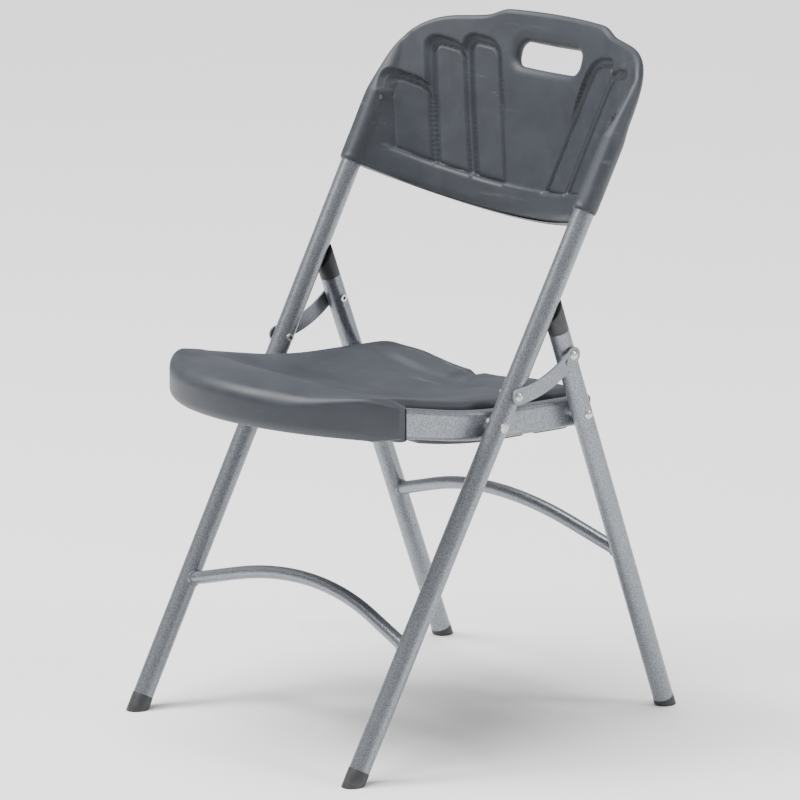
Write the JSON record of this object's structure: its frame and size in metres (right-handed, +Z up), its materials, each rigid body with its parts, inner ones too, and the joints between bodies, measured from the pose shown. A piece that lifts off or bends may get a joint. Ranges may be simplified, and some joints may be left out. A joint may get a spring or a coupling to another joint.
{
  "type": "folding chair",
  "caption": "Steel tube folding chair with a round-nosed moulded seat, a curved moulded back with a hand slot, and bent side links that fold the rear legs.",
  "frame": {"origin": "on the floor, under the middle of the open chair's box", "axes": "+X to the sitter's left, +Y to the rear, +Z up; the chair faces -Y"},
  "size_m": [0.451, 0.5638, 0.8264],
  "materials": {
    "frame_paint": "silver-grey speckled powder paint, satin",
    "fastener_steel": "plated steel, satin",
    "moulded_plastic": "dark slate grey, fine matt grain",
    "foot_plastic": "near black, matt"
  },
  "bodies": {
    "front_frame": {"front_leg_left": "frame_paint", "front_leg_right": "frame_paint", "front_foot_left": "foot_plastic", "front_foot_right": "foot_plastic", "front_brace": "frame_paint", "front_welds": "frame_paint", "back_panel": "moulded_plastic", "back_panel_screws": "fastener_steel", "seat_front_rivets": "fastener_steel", "link_front_rivets": "fastener_steel", "front_spacers": "fastener_steel"},
    "seat": {"seat_rail_left": "frame_paint", "seat_rail_right": "frame_paint", "rail_plug_left": "foot_plastic", "rail_plug_right": "foot_plastic", "seat_front_bar": "frame_paint", "seat_rear_bar": "frame_paint", "seat_panel": "moulded_plastic", "seat_screws": "fastener_steel"},
    "links": {"link_left": "frame_paint", "link_right": "frame_paint"},
    "rear_frame": {"rear_leg_left": "frame_paint", "rear_leg_right": "frame_paint", "rear_foot_left": "foot_plastic", "rear_foot_right": "foot_plastic", "rear_leg_cap_left": "foot_plastic", "rear_leg_cap_right": "foot_plastic", "rear_brace": "frame_paint", "rear_welds": "frame_paint", "seat_rear_rivets": "fastener_steel", "link_rear_rivets": "fastener_steel", "rear_spacers": "fastener_steel"}
  },
  "joints": [
    {"name": "seat_fold", "type": "hinge", "parent": "front_frame", "child": "seat", "pos_m": [0, -0.01691, 0.39397], "axis": [-1, 0, 0], "range_deg": [0, 105.97]},
    {"name": "link_swing", "type": "hinge", "parent": "front_frame", "child": "links", "pos_m": [0, 0.00258, 0.42902], "axis": [-1, 0, 0], "range_deg": [0, 126.25]},
    {"name": "rear_leg_swing", "type": "hinge", "parent": "links", "child": "rear_frame", "pos_m": [0, 0.08917, 0.46609], "axis": [1, 0, 0], "range_deg": [0, 76.61]}
  ],
  "couplings": [
    {"joint": "link_swing", "follows": "seat_fold", "ratio": 1.1909},
    {"joint": "rear_leg_swing", "follows": "seat_fold", "ratio": 0.72249}
  ]
}
